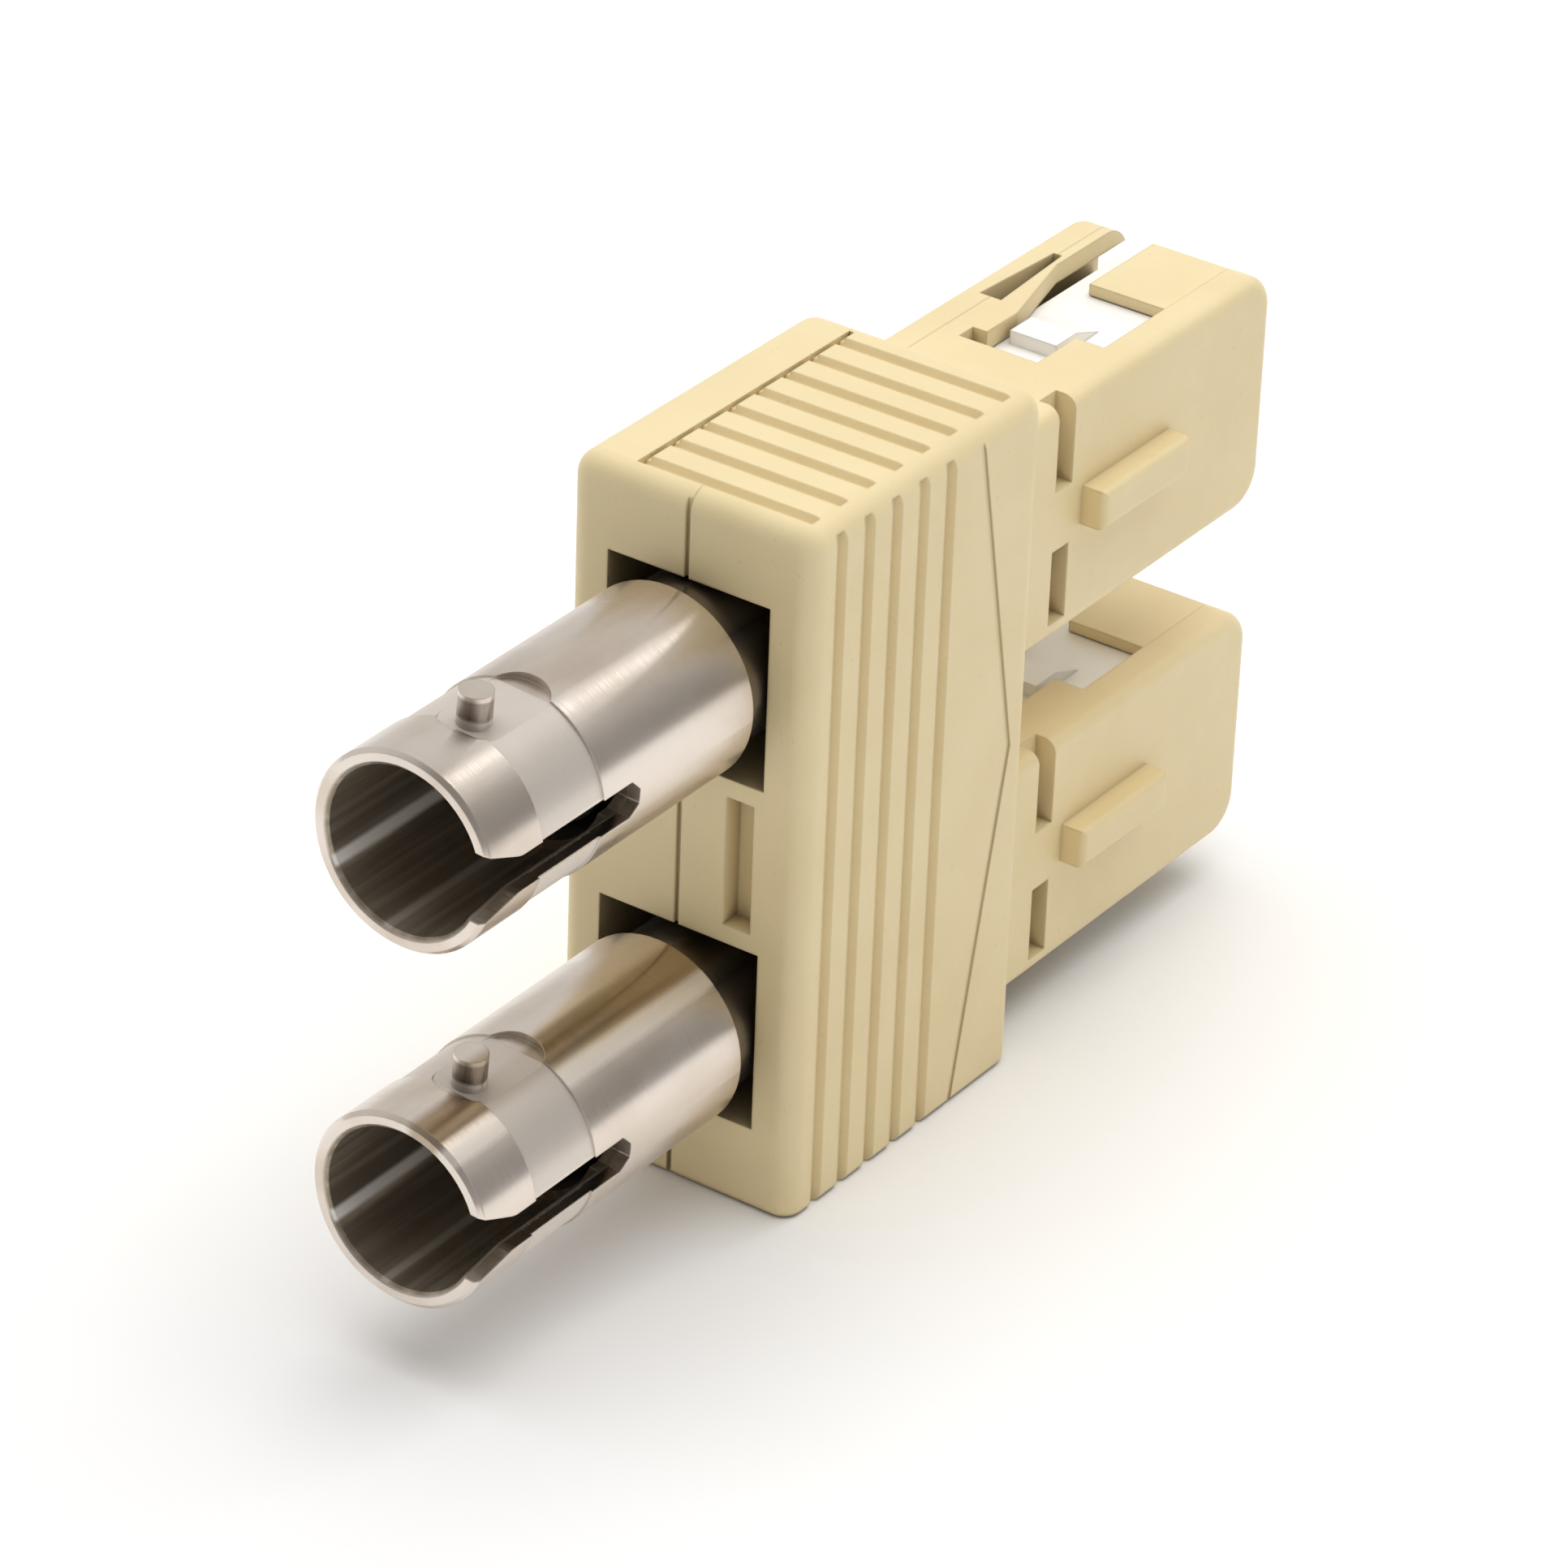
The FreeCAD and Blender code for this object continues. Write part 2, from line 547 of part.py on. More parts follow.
def make_main_housing():
    """The larger half: ribbed side, body and most of both plug blocks."""
    body = new_body("housing_main")
    pad(body, "block", "Y", front, rear,
        [[(parting, ZERO), (half_width, ZERO),
          (half_width, S.body_height, S.edge_round), (parting, S.body_height)]])
    cut(body, "lip_room", "Y", front, lip_rear, [box(parting, ZERO, ZERO, S.body_height)])
    round_ends(body)
    add_plugs(body, parting, half_plug)
    key_start = rear + S.key_start
    pad(body, "key_ribs", "Y", key_start, key_start + S.key_length,
        [box(cavity_half, half_plug + S.key_height, axis - S.key_width / 2, axis + S.key_width / 2)
         for axis in CHANNELS.values()])
    key_face = half_plug + S.key_height
    dress(body, "PartDesign::Fillet", "key_edges", "Radius", S.key_round,
          lambda edge: flat_at(edge.XMin, edge.XMax, key_face))
    shared_cavities(body)
    notch(body, "ferrule_notch", flange_rear, partition_rear, S.ferrule_diameter / 2 + S.loose_gap)
    notch(body, "stop_notch", stop_front, stop_rear, S.seat_diameter / 2 + S.slide_gap)

    # Latch windows with the finger on the seam side and the free-ended bar at the plug's end
    past_end = plug_end + S.plug_edge_round
    notch_end = rear + S.window_front + S.window_notch_length
    cut(body, "latch_windows", "Z", ZERO, S.body_height, [[
        (-S.window_notch, rear + S.window_front), (S.window_narrow, rear + S.window_front),
        (S.window_narrow, rear + S.window_step), (S.window_wide, rear + S.window_step),
        (S.window_wide, rear + S.window_rear), (-S.bar_end, rear + S.window_rear),
        (-S.bar_end, past_end), (-S.finger_tip, past_end),
        (-S.finger_tip, rear + S.window_rear), (-S.window_finger, rear + S.finger_bend),
        (-S.window_finger, notch_end), (-S.window_notch, notch_end)]])
    faces = [(axis + S.plug_top, -1) for axis in CHANNELS.values()]
    faces += [(axis - S.plug_bottom, 1) for axis in CHANNELS.values()]
    recesses = []
    for face, inward in faces:
        low, high = sorted((face, face + S.bar_recess * inward), key=lambda station: station.value)
        recesses.append(box(-S.finger_tip, S.window_wide, low, high))
    cut(body, "latch_bars", "Y", rear + S.window_rear, plug_end, recesses)
    finger_slot(body, 1)

    # Slots at the foot of the plugs' key side
    slot_start = rear + S.side_slot_start
    slot_end = slot_start + S.side_slot_length
    slots = []
    for axis in CHANNELS.values():
        slots.append(box(slot_start, slot_end, axis + S.side_slot_inner, axis + S.plug_top * 2))
        slots.append(box(slot_start, slot_end, axis - S.side_slot_outer, axis - S.side_slot_inner))
    cut(body, "side_slots", "X", half_plug - S.side_slot_depth, half_plug, slots)

    # Pocket in the front web between the windows
    low = CHANNELS["lower"] + S.front_window_inner + S.web_pocket_rim
    high = CHANNELS["upper"] - S.front_window_inner - S.web_pocket_rim
    cut(body, "web_pocket", "Y", front, front + S.web_pocket_depth,
        [box(S.web_pocket_inner, S.web_pocket_outer, low, high)])
    side_grooves(body, half_width, -1)
    top_grooves(body, parting, half_width - S.top_groove_margin)
    edges = box(parting, parting + S.seam_width, S.body_height - S.seam_depth, S.body_height)
    lower_edges = box(parting, parting + S.seam_width, ZERO, S.seam_depth)
    cut(body, "seam_line", "Y", lip_rear, rear - S.end_round, [edges, lower_edges])
    cut(body, "pin_holes", "X", parting, parting + S.pin_length + S.slide_gap,
        [disc(along, height, S.pin_diameter + S.sleeve_gap * 2) for along, height in pin_places()])
    return body


def make_housing_cover():
    """The smaller half: side plate, half the front wall and the plugs' thin side walls."""
    body = new_body("housing_cover")
    pad(body, "plate", "Y", front, rear,
        [[(-half_width, ZERO), (parting, ZERO), (parting, S.body_height),
          (-half_width, S.body_height, S.edge_round)]])
    pad(body, "front_lip", "Y", front, lip_rear, [box(parting, ZERO, ZERO, S.body_height)])
    round_ends(body)
    add_plugs(body, parting, -half_plug)
    shared_cavities(body)
    finger_slot(body, -1)
    side_grooves(body, -half_width, 1)
    top_grooves(body, parting, ZERO)
    cut(body, "seam_line", "Y", front, front + S.seam_depth,
        [box(-S.seam_width, ZERO, ZERO, S.body_height)])
    pad(body, "pins", "X", parting, parting + S.pin_length,
        [disc(along, height, S.pin_diameter) for along, height in pin_places()])
    return body


# Pieces of one channel, each turned or moulded about its own Y axis

def make_barrel(channel, height):
    """Plated barrel with keyway, bayonet lugs and the flange that the halves clamp."""
    body = new_body(f"st_barrel_{channel}", height)
    outer = S.barrel_diameter / 2
    inner = S.barrel_bore / 2
    edge = S.barrel_chamfer
    band = mouth + S.band_start
    band_end = band + S.band_length
    shallow = outer - S.band_depth
    shoulder = front - S.barrel_shoulder
    neck = S.barrel_neck / 2
    turn(body, "barrel", [
        (inner, mouth + edge), (inner + edge, mouth), (outer - edge, mouth), (outer, mouth + edge),
        (outer, band), (shallow, band), (shallow, band_end), (outer, band_end),
        (outer, shoulder - S.shoulder_chamfer), (outer - S.shoulder_chamfer, shoulder), (neck, shoulder),
        (neck, flange_front), (S.flange_diameter / 2, flange_front),
        (S.flange_diameter / 2, flange_rear), (rear_bore, flange_rear),
        (rear_bore, mouth + S.bore_depth), (inner, mouth + S.bore_depth)])
    body.Placement.Rotation = FreeCAD.Rotation(FreeCAD.Vector(0, 1, 0), S.barrel_turn.value)
    bind(body, "Placement.Rotation.Angle", S.barrel_turn)
    flat = S.flange_flats / 2
    reach = S.flange_diameter
    flats = cut(body, "flange_flats", "Y", flange_front, flange_rear,
                [box(flat, reach, -reach, reach), box(-reach, -flat, -reach, reach)])
    flats.Profile[0].AttachmentOffset.Rotation = FreeCAD.Rotation(FreeCAD.Vector(0, 0, 1), 1)
    bind(flats.Profile[0], "AttachmentOffset.Rotation.Angle", S.barrel_turn)
    half = S.key_slot_width / 2
    wide = S.key_mouth_width / 2
    flare = mouth + S.key_mouth_length
    end = mouth + S.key_slot_length
    relief = S.key_slot_round
    cut(body, "keyway", "X", ZERO, S.barrel_diameter, [[
        (mouth - edge, -wide), (mouth, -wide), (flare, -half), (end - relief, -half), (end, -half + relief),
        (end, half - relief), (end - relief, half), (flare, half), (mouth, wide), (mouth - edge, wide)]])

    def at_flare(edge):
        return flat_at(edge.YMin, edge.YMax, flare) and edge.ZMax - edge.ZMin < edge.XMax - edge.XMin
    dress(body, "PartDesign::Fillet", "keyway_flare", "Radius", S.key_mouth_round, at_flare)
    lug = mouth + S.lug_setback
    floor = outer - S.spot_face_depth
    half = S.spot_face_width / 2
    ahead = lug - S.spot_face_ahead
    behind = lug + S.spot_face_behind
    corner = S.spot_face_round
    flat_outline = [(-half, ahead, corner), (half, ahead, corner), (half, behind, corner), (-half, behind, corner)]
    for side, (low, high) in {"top": (floor, S.barrel_diameter), "bottom": (-S.barrel_diameter, -floor)}.items():
        cut(body, f"spot_face_{side}", "Z", low, high, [flat_outline])
    root = inner + (floor - inner) / 2
    tip = outer + S.lug_height
    for side, (low, high) in {"top": (root, tip), "bottom": (-tip, -root)}.items():
        pad(body, f"lug_{side}", "Z", low, high, [disc(ZERO, lug, S.lug_diameter)])
    return body


def make_sleeve_holder(channel, height):
    """Tube round the split sleeve, pressed into the rear of the barrel."""
    body = new_body(f"sleeve_holder_{channel}", height)
    nose = sleeve_start - S.holder_lip
    lip = S.ferrule_diameter / 2 + S.loose_gap
    shoulder = flange_rear - S.holder_seat
    turn(body, "holder", [
        (lip, nose), (holder_outer, nose), (holder_outer, shoulder), (rear_bore, shoulder),
        (rear_bore, flange_rear), (holder_inner, flange_rear), (holder_inner, sleeve_start),
        (lip, sleeve_start)])
    return body


def make_split_sleeve(channel, height):
    """Alignment sleeve with one slit, resting in its holder."""
    body = new_body(f"split_sleeve_{channel}", height)
    turn(body, "sleeve", [(sleeve_inner, sleeve_start), (sleeve_outer, sleeve_start),
                          (sleeve_outer, flange_rear), (sleeve_inner, flange_rear)])
    half = S.sleeve_slit / 2
    cut(body, "slit", "Z", ZERO, sleeve_outer * 2, [box(-half, half, sleeve_start, flange_rear)])
    return body


def make_ferrule(label, height, low, high, chamfer_low, chamfer_high):
    """Ceramic ferrule: a plain rod with its free end chamfered."""
    body = new_body(label, height)
    radius = S.ferrule_diameter / 2
    edge = S.ferrule_chamfer
    profile = [(ZERO, low)]
    profile += [(radius - edge, low), (radius, low + edge)] if chamfer_low else [(radius, low)]
    profile += [(radius, high - edge), (radius - edge, high)] if chamfer_high else [(radius, high)]
    profile += [(ZERO, high)]
    turn(body, "ferrule", profile)
    return body


def make_collar(channel, height):
    """Metal collar that joins the two ferrules and takes the spring's push."""
    body = new_body(f"ferrule_collar_{channel}", height)
    inner = S.ferrule_diameter / 2
    outer = inner + S.collar_wall
    turn(body, "collar", [
        (inner, collar_start), (outer, collar_start), (outer, collar_rest), (S.collar_flange / 2, collar_rest),
        (S.collar_flange / 2, collar_end), (inner, collar_end)])
    return body


def make_spring(channel, height):
    """Coil spring between the seat's floor and the collar's flange."""
    body = new_body(f"ferrule_spring_{channel}", height)
    sketch = sketch_on(body, "wire_sketch", "XY_Plane", ZERO)
    draw_disc(sketch, S.spring_mean / 2, spring_start + S.spring_wire / 2, S.spring_wire)
    coil = body.newObject("PartDesign::AdditiveHelix", "coil")
    coil.Profile = sketch
    coil.ReferenceAxis = (sketch, ["V_Axis"])
    coil.Mode = "height-turns-angle"
    bind(coil, "Height", S.spring_length - S.spring_wire)
    bind(coil, "Turns", S.spring_turns)
    doc.recompute()
    return body


def make_spring_seat(channel, height):
    """Cup that holds the spring in the plug frame; its ring limits the frame's travel."""
    body = new_body(f"spring_seat_{channel}", height)
    bore = S.ferrule_diameter / 2 + S.slide_gap
    outer = S.seat_diameter / 2
    inner = outer - S.seat_wall
    ring = S.seat_ring / 2
    ring_rear = stop_front - S.plug_travel
    ring_front = ring_rear - S.seat_ring_thickness
    turn(body, "seat", [
        (bore, seat_start), (outer, seat_start), (outer, ring_front), (ring, ring_front), (ring, ring_rear),
        (outer, ring_rear), (outer, seat_inner), (inner, seat_inner), (inner, spring_start),
        (bore, spring_start)])
    return body


def make_plug_frame(channel, height):
    """Inner frame of the plug: square outside, stepped bore inside, a latch catch above and below."""
    body = new_body(f"plug_frame_{channel}", height)
    across = cavity_half - S.slide_gap
    tall = cavity_half_height - S.slide_gap
    corner = S.frame_round
    slant = S.frame_chamfer
    pad(body, "frame", "Y", stop_rear, frame_end, [[
        (-across + slant, -tall), (across, -tall, corner), (across, tall, corner),
        (-across + slant, tall), (-across, tall - slant), (-across, -tall + slant)]])
    cut(body, "seat_bore", "Y", stop_rear, collar_end, [disc(ZERO, ZERO, S.seat_diameter)])
    cut(body, "stop_bore", "Y", collar_end, collar_end + S.frame_stop_ring,
        [disc(ZERO, ZERO, S.ferrule_diameter + S.loose_gap * 2)])
    cut(body, "mouth", "Y", collar_end + S.frame_stop_ring, frame_end, [disc(ZERO, ZERO, S.frame_mouth)])
    start = stop_rear + S.catch_start
    flat = start + S.catch_flat
    end = flat + S.catch_ramp
    root = tall - S.catch_height
    tip = tall + S.catch_height
    half = S.catch_width / 2
    for name, side in (("top", 1), ("bottom", -1)):
        pad(body, f"catch_{name}", "X", -half, half,
            [[(start, root * side), (end, root * side), (end, tall * side), (flat, tip * side), (start, tip * side)]])
    return body


make_main_housing()
make_housing_cover()
for channel, height in CHANNELS.items():
    make_barrel(channel, height)
    make_sleeve_holder(channel, height)
    make_split_sleeve(channel, height)
    make_ferrule(f"st_ferrule_{channel}", height, sleeve_start + S.sleeve_length / 2,
                 ferrules_meet - S.ferrule_gap / 2, True, False)
    make_ferrule(f"sc_ferrule_{channel}", height, ferrules_meet + S.ferrule_gap / 2, ferrule_tip, False, True)
    make_collar(channel, height)
    make_spring(channel, height)
    make_spring_seat(channel, height)
    make_plug_frame(channel, height)

doc.recompute()
for thing in doc.Objects:
    if "Invalid" in thing.State or "Error" in thing.State:
        raise RuntimeError(f"{thing.Label} failed: {thing.State}")
for piece in pieces:
    if piece.Shape.isNull() or not piece.Shape.isValid() or len(piece.Shape.Solids) != 1:
        raise RuntimeError(f"{piece.Label} is not one valid solid")

os.makedirs("parts", exist_ok=True)
for piece in pieces:
    piece.Shape.exportStep(f"parts/{piece.Label}.step")
    print(f"{piece.Label}: {piece.Shape.Volume:.2f} cubic mm")
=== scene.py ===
"""Looks of the duplex fibre adapter: moulded beige housing, plated barrels, white plug frames.

Sizes in the materials are in millimetres, in the part's own frame: X across, Y along the fibres, Z up.
Angles round a fibre's axis are in degrees from the top. Colours are linear red, green and blue.
"""
import json
import math

import bpy
from mathutils import Matrix, Vector


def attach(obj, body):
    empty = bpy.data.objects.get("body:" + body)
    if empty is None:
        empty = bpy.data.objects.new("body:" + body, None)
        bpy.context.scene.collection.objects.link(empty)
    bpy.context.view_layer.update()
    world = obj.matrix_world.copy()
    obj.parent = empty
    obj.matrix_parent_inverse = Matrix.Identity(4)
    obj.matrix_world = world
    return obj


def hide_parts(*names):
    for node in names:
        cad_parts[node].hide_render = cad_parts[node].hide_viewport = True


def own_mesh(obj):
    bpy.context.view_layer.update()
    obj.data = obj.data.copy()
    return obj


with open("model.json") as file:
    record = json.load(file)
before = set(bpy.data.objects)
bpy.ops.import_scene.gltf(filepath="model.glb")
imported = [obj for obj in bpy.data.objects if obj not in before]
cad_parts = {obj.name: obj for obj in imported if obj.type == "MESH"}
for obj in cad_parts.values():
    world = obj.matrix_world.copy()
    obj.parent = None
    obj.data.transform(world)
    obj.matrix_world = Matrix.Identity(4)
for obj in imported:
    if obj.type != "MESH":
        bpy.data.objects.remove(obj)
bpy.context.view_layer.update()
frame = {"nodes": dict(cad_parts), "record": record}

MILLIMETRES = 1000  # in a metre

# Height of the middle between the two fibre axes, and each axis's distance from it
AXIS_MIDDLE = 12.45
AXIS_OFFSET = 6.35

# Fades from one finish to the next, with start and end: a height, three radii and a place along the fibres.
# The height bounds the lower barrel's painted dark reflection and painted highlight line; the place is where
# painted shade begins on the neck.
LOWER_BARREL = (11.95, 12.95)
BORE = (2.84, 2.96)
BAND_HEIGHT = (3.4, 3.5)
FIBRE_CORE = (0.06, 0.075)
NECK = (-7.46, -7.3)

# Marks on the barrels, with start, end and softness: a place along the fibres, radii, then angles
BAND = (-18.1, -15.05, 0.04)
# Painted dark reflection on the lugs' sides
LUG_SIDE_REFLECTION = (3.4, 4.1, 0.05)
KEYWAY = (81, 107, 0.4)
# Painted dark reflection along the lower barrel's top, then a painted highlight line beside it
DARK_REFLECTION_ANGLES = (7, 28, 4.0)
HIGHLIGHT_LINE_ANGLES = (30, 42, 2.5)
# Painted highlight streaks inside the bore
BRIGHT_BORE_HIGHLIGHT = (-120, -112, 2.0)
FAINT_BORE_HIGHLIGHT = (-172, -166, 2.0)
FAINT_SHARE = 0.35

# The middle of a noise's range, which is spread over the values wanted
NOISE_SPAN = (0.3, 0.7)
BEVEL_SAMPLES = 6
OCCLUSION_SAMPLES = 8

# Colours; a pair is mixed by noise
BEIGE = (0.805, 0.66, 0.378), (0.84, 0.70, 0.412)
BEIGE_SPECK = (0.62, 0.48, 0.26)
# Painted shade in the housing's narrow grooves
BEIGE_GROOVE_SHADE = (0.42, 0.29, 0.13)
# Deeper painted shade inside the housing's windows and recesses
BEIGE_WINDOW_SHADE = (0.10, 0.07, 0.032)
NICKEL = (0.79, 0.71, 0.635), (0.67, 0.575, 0.48)
# Painted dark reflection and painted highlight line along the lower barrel's top
NICKEL_DARK_REFLECTION = (0.36, 0.27, 0.16)
NICKEL_HIGHLIGHT_LINE = (0.90, 0.83, 0.74)
NICKEL_MATT = (0.80, 0.73, 0.66)
# Painted dark reflection on the lugs' sides
NICKEL_LUG_REFLECTION = (0.16, 0.12, 0.10)
# Painted shade in the barrels' corners
NICKEL_CORNER_SHADE = (0.10, 0.07, 0.05)
# Painted shade on the barrel's neck inside the window
NICKEL_NECK_SHADE = (0.05, 0.035, 0.02)
BORE_BROWN = (0.28, 0.23, 0.17), (0.46, 0.39, 0.30)
# Painted highlight streaks inside the bore
BORE_HIGHLIGHT = (0.92, 0.88, 0.82)
WHITE = (0.92, 0.91, 0.88), (0.95, 0.94, 0.92)
# Painted shade in the plug frame's corners
WHITE_CORNER_SHADE = (0.55, 0.50, 0.42)
BLACK = (0.018, 0.017, 0.016), (0.035, 0.033, 0.031)
BRONZE = (0.58, 0.36, 0.17), (0.72, 0.48, 0.25)
CERAMIC = (0.84, 0.82, 0.77), (0.90, 0.89, 0.86)
FIBRE = (0.05, 0.06, 0.07)
STEEL = (0.55, 0.55, 0.56), (0.68, 0.68, 0.68)
PAPER = (0.95, 0.95, 0.95), (0.97, 0.97, 0.97)
NO_RINGS = (0.5, 0.5, 0.5)

# The photograph's view: angles in degrees, lens and sensor in millimetres, the rest in metres
CAMERA_AZIMUTH = 34.27
CAMERA_ELEVATION = 30.3
CAMERA_ROLL = 2.2
CAMERA_DISTANCE = 0.23484
CAMERA_AIM = (-0.000495, 0, 0.011515)
CAMERA_LENS = 168.2
CAMERA_SENSOR = 36
CAMERA_CLIP = 0.01

# The room grows brighter along an axis towards its back left
SKY_AXIS = (-0.6, 0.55, 0.58)
SKY_RISE = {"From Min": 0.1, "From Max": 0.6, "To Min": 0.3, "To Max": 0.74}
SKY_COLOUR = (1.0, 0.985, 0.965, 1)

# Floor and lights in metres; each light has a name, place, size, power in watts and whether metal mirrors it
FLOOR_REACH = 3.0
LIGHT_AIM = (0, 0, 0.012)
LIGHTS = (
    ("overhead", (0.02, 0.07, 0.62), (0.75, 0.75), 3.2, False),
    ("key_side", (0.55, 0.05, 0.30), (0.35, 0.5), 0.14, True),
    ("strip", (0.12, 0.44, 0.40), (0.05, 0.5), 0.17, True),
)


def is_socket(value):
    return isinstance(value, bpy.types.NodeSocket)


class Shader:
    """A material under construction: its node tree, main shader and position in millimetres."""

    def __init__(self, name):
        self.material = bpy.data.materials.new(name)
        self.material.use_nodes = True
        self.tree = self.material.node_tree
        self.main = self.tree.nodes["Principled BSDF"]
        metres = self.node("ShaderNodeTexCoord").outputs["Object"]
        self.place = self.scaled(metres, (MILLIMETRES, MILLIMETRES, MILLIMETRES))

    def feed(self, socket, value):
        """Links a node's output to a socket, or sets the socket to a plain value."""
        if is_socket(value):
            self.tree.links.new(value, socket)
        else:
            socket.default_value = value

    def node(self, kind, inputs=None, **settings):
        """Adds a node, makes its settings, then feeds its inputs by name or number."""
        node = self.tree.nodes.new(kind)
        for name, value in settings.items():
            setattr(node, name, value)
        for socket, value in (inputs or {}).items():
            self.feed(node.inputs[socket], value)
        return node

    def set(self, **values):
        """Feeds the main shader's inputs."""
        for name, value in values.items():
            self.feed(self.main.inputs[name.replace("_", " ")], value)

    def scaled(self, vector, factors):
        node = self.node("ShaderNodeVectorMath", {0: vector, 1: factors}, operation="MULTIPLY")
        return node.outputs["Vector"]

    def math(self, operation, a, b=0.0):
        return self.node("ShaderNodeMath", {0: a, 1: b}, operation=operation).outputs[0]

    def times(self, a, b):
        return self.math("MULTIPLY", a, b)

    def minus(self, a, b):
        return self.math("SUBTRACT", a, b)

    def ramp(self, factor, low, high, start=0.0, end=1.0):
        """Maps a range of the factor smoothly onto a range of values."""
        inputs = {"Value": factor, "From Min": start, "From Max": end, "To Min": low, "To Max": high}
        return self.node("ShaderNodeMapRange", inputs, interpolation_type="SMOOTHSTEP").outputs["Result"]

    def within(self, value, low, high, soft):
        """One between two limits and zero outside, with soft edges."""
        rise = self.ramp(value, 0.0, 1.0, low - soft, low + soft)
        fall = self.ramp(value, 1.0, 0.0, high - soft, high + soft)
        return self.times(rise, fall)

    def mix(self, factor, a, b):
        """Mixes two colours, each plain or from a node."""
        a, b = (colour if is_socket(colour) else (*colour, 1) for colour in (a, b))
        return self.node("ShaderNodeMix", {"Factor": factor, 6: a, 7: b}, data_type="RGBA").outputs[2]

    def tint(self, colour, mask, strength, tone):
        """Mixes a tone into a colour where the mask is, up to a strength."""
        return self.mix(self.times(mask, strength), colour, tone)

    def noise(self, scale, detail, stretch=(1, 1, 1)):
        """Noise with a given number of features per millimetre, multiplied along the axes."""
        inputs = {"Vector": self.scaled(self.place, stretch), "Scale": scale, "Detail": detail}
        return self.node("ShaderNodeTexNoise", inputs).outputs["Fac"]

    def cloud(self, scale, detail, low=0.0, high=1.0, stretch=(1, 1, 1)):
        """Noise spread over a range of values."""
        return self.ramp(self.noise(scale, detail, stretch), low, high, *NOISE_SPAN)

    def hollow(self, reach, closed, clear):
        """One in hollows and zero in the open, by how open the surface is within a reach."""
        node = self.node("ShaderNodeAmbientOcclusion", {"Distance": reach / MILLIMETRES},
                         samples=OCCLUSION_SAMPLES)
        return self.ramp(node.outputs["AO"], 1.0, 0.0, closed, clear)

    def bump(self, *layers, edge):
        """Softens edges to a radius, then stacks bumps given as (height, depth), all in millimetres."""
        soft = self.node("ShaderNodeBevel", {"Radius": edge / MILLIMETRES}, samples=BEVEL_SAMPLES)
        normal = soft.outputs["Normal"]
        for height, depth in layers:
            inputs = {"Distance": depth / MILLIMETRES, "Height": height, "Normal": normal}
            normal = self.node("ShaderNodeBump", inputs).outputs["Normal"]
        self.set(Normal=normal)

    def axes(self):
        return self.node("ShaderNodeSeparateXYZ", {0: self.place}).outputs

    def from_axis(self):
        """Distances across and up from the nearer fibre axis."""
        x, _, z = self.axes()
        height = self.minus(z, AXIS_MIDDLE)
        return x, self.minus(height, self.times(self.math("SIGN", height), AXIS_OFFSET))

    def radius(self):
        across, up = self.from_axis()
        return self.math("SQRT", self.math("ADD", self.times(across, across), self.times(up, up)))

    def angle(self):
        return self.math("DEGREES", self.math("ARCTAN2", *self.from_axis()))


def beige_plastic():
    """Moulded housing plastic: slightly mottled, fine satin grain, with painted shade in each groove and
    window.
    """
    s = Shader("beige_plastic")
    colour = s.mix(s.cloud(scale=0.22, detail=4.0), *BEIGE)
    specks = s.ramp(s.noise(scale=5.0, detail=2.0), 0.0, 0.35, start=0.66, end=0.8)
    colour = s.mix(specks, colour, BEIGE_SPECK)
    # Painted shade in the narrow grooves, from how closed in the surface is
    groove_shade = s.hollow(reach=0.6, closed=0.2, clear=0.85)
    colour = s.tint(colour, groove_shade, 0.38, BEIGE_GROOVE_SHADE)
    # Deeper painted shade inside the windows and recesses, from how closed in the surface is
    window_shade = s.hollow(reach=5.0, closed=0.03, clear=0.36)
    colour = s.tint(colour, window_shade, 0.64, BEIGE_WINDOW_SHADE)
    s.set(Base_Color=colour, Roughness=s.cloud(scale=1.4, detail=4.0, low=0.36, high=0.5), IOR=1.49)
    waves = s.noise(scale=0.9, detail=2.0)
    grain = s.noise(scale=22.0, detail=2.0)
    s.bump((waves, 0.006), (grain, 0.0022), edge=0.12)
    return s.material


